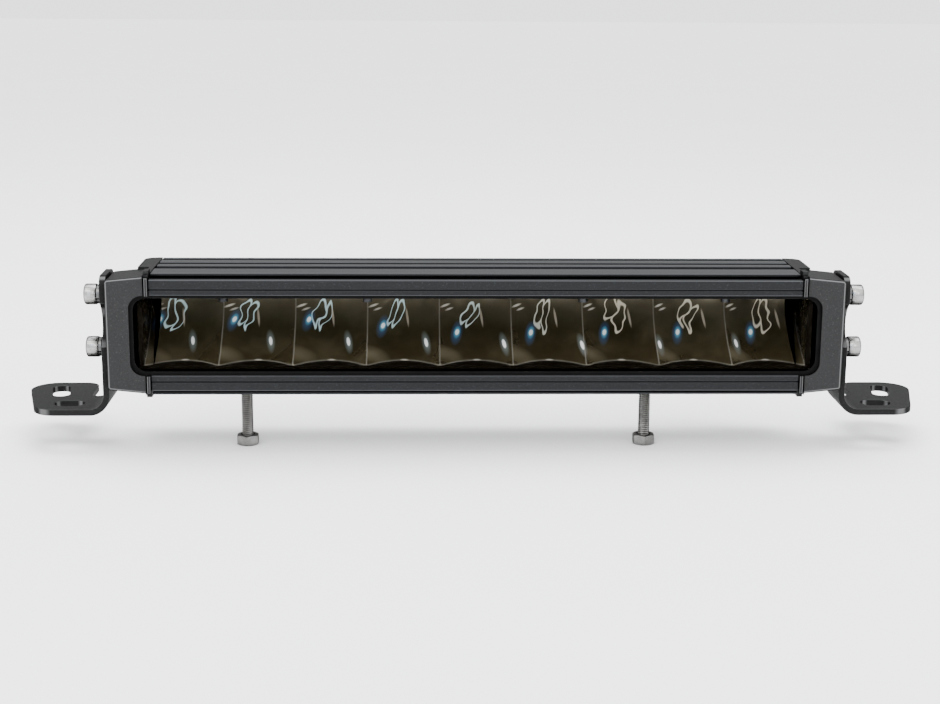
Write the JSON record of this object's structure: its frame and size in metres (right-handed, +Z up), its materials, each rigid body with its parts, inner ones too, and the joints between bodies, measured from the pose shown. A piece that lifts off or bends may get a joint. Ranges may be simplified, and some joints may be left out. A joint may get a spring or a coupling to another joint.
{
  "type": "led light bar",
  "caption": "Slim straight light bar: finned extrusion with a clear lens, cast end caps on tilting L brackets, and bolts that slide in a bottom channel.",
  "frame": {"origin": "midway between the front slots of the two bracket feet, on the underside of the feet", "axes": "+X to the right along the bar, -Y the way the lamp faces, +Z up from the mounting surface"},
  "size_m": [0.441, 0.0652, 0.0877],
  "materials": {
    "housing": "satin black powder coat on extruded aluminium, fine texture",
    "end_cap_left": "satin black powder coat on cast aluminium",
    "end_cap_right": "satin black powder coat on cast aluminium",
    "end_gasket_left": "matt silicone",
    "end_gasket_right": "matt silicone",
    "lens": "clear polycarbonate",
    "lens_gasket": "matt silicone",
    "reflector": "smoked metallised moulding, mirror bright",
    "led_board": "black solder mask on aluminium",
    "thermal_pad": "soft grey pad",
    "led_emitters": "clear dome over yellow phosphor",
    "led_board_screws": "bright",
    "driver_board": "green circuit board",
    "driver_spacers": "turned brass",
    "driver_screws": "bright",
    "driver_coils": "dark ferrite",
    "driver_capacitors": "bare can",
    "driver_chips": "black package",
    "terminal_block": "green terminal block",
    "link_ribbon": "amber flexible circuit",
    "supply_leads": "insulated wires",
    "cable_gland_body": "black nylon",
    "gland_lock_nut": "black nylon",
    "gland_seal": "matt rubber",
    "gland_cap_nut": "black nylon",
    "vent_plug": "black nylon",
    "bracket_left": "satin black powder coat",
    "bracket_right": "satin black powder coat",
    "pivot_screws": "bright stainless",
    "clamp_screws": "bright stainless",
    "plain_washers": "bright stainless",
    "spring_washers": "bright stainless",
    "threaded_inserts": "knurled brass",
    "end_cap_screws": "black-plated",
    "channel_bolt_left": "bright stainless",
    "channel_bolt_right": "bright stainless",
    "channel_nut_left": "bright stainless",
    "channel_nut_right": "bright stainless"
  },
  "bodies": {
    "brackets": {"bracket_left": "bracket_left", "bracket_right": "bracket_right"},
    "lamp": {"housing": "housing", "end_cap_left": "end_cap_left", "end_cap_right": "end_cap_right", "end_gasket_left": "end_gasket_left", "end_gasket_right": "end_gasket_right", "lens": "lens", "lens_gasket": "lens_gasket", "reflector": "reflector", "led_board": "led_board", "thermal_pad": "thermal_pad", "led_emitters": "led_emitters", "led_board_screws": "led_board_screws", "driver_board": "driver_board", "driver_spacers": "driver_spacers", "driver_screws": "driver_screws", "driver_coils": "driver_coils", "driver_capacitors": "driver_capacitors", "driver_chips": "driver_chips", "terminal_block": "terminal_block", "link_ribbon": "link_ribbon", "supply_leads": "supply_leads", "cable_gland_body": "cable_gland_body", "gland_lock_nut": "gland_lock_nut", "gland_seal": "gland_seal", "gland_cap_nut": "gland_cap_nut", "vent_plug": "vent_plug", "pivot_screws": "pivot_screws", "clamp_screws": "clamp_screws", "plain_washers": "plain_washers", "spring_washers": "spring_washers", "threaded_inserts": "threaded_inserts", "end_cap_screws": "end_cap_screws"},
    "bolt_left": {"channel_bolt_left": "channel_bolt_left"},
    "bolt_right": {"channel_bolt_right": "channel_bolt_right"},
    "nut_left": {"channel_nut_left": "channel_nut_left"},
    "nut_right": {"channel_nut_right": "channel_nut_right"}
  },
  "joints": [
    {"name": "tilt", "type": "hinge", "parent": "brackets", "child": "lamp", "pos_m": [0, 0, 0.0312], "axis": [1, 0, 0], "range_deg": [-15, 15]},
    {"name": "slide_left", "type": "slide", "parent": "lamp", "child": "bolt_left", "axis": [1, 0, 0], "range_m": [-0.032, 0.085]},
    {"name": "slide_right", "type": "slide", "parent": "lamp", "child": "bolt_right", "axis": [1, 0, 0], "range_m": [-0.085, 0.06]},
    {"name": "nut_left_travel", "type": "slide", "parent": "bolt_left", "child": "nut_left", "axis": [0, 0, 1], "range_m": [0, 0.021]},
    {"name": "nut_right_travel", "type": "slide", "parent": "bolt_right", "child": "nut_right", "axis": [0, 0, 1], "range_m": [0, 0.021]}
  ]
}
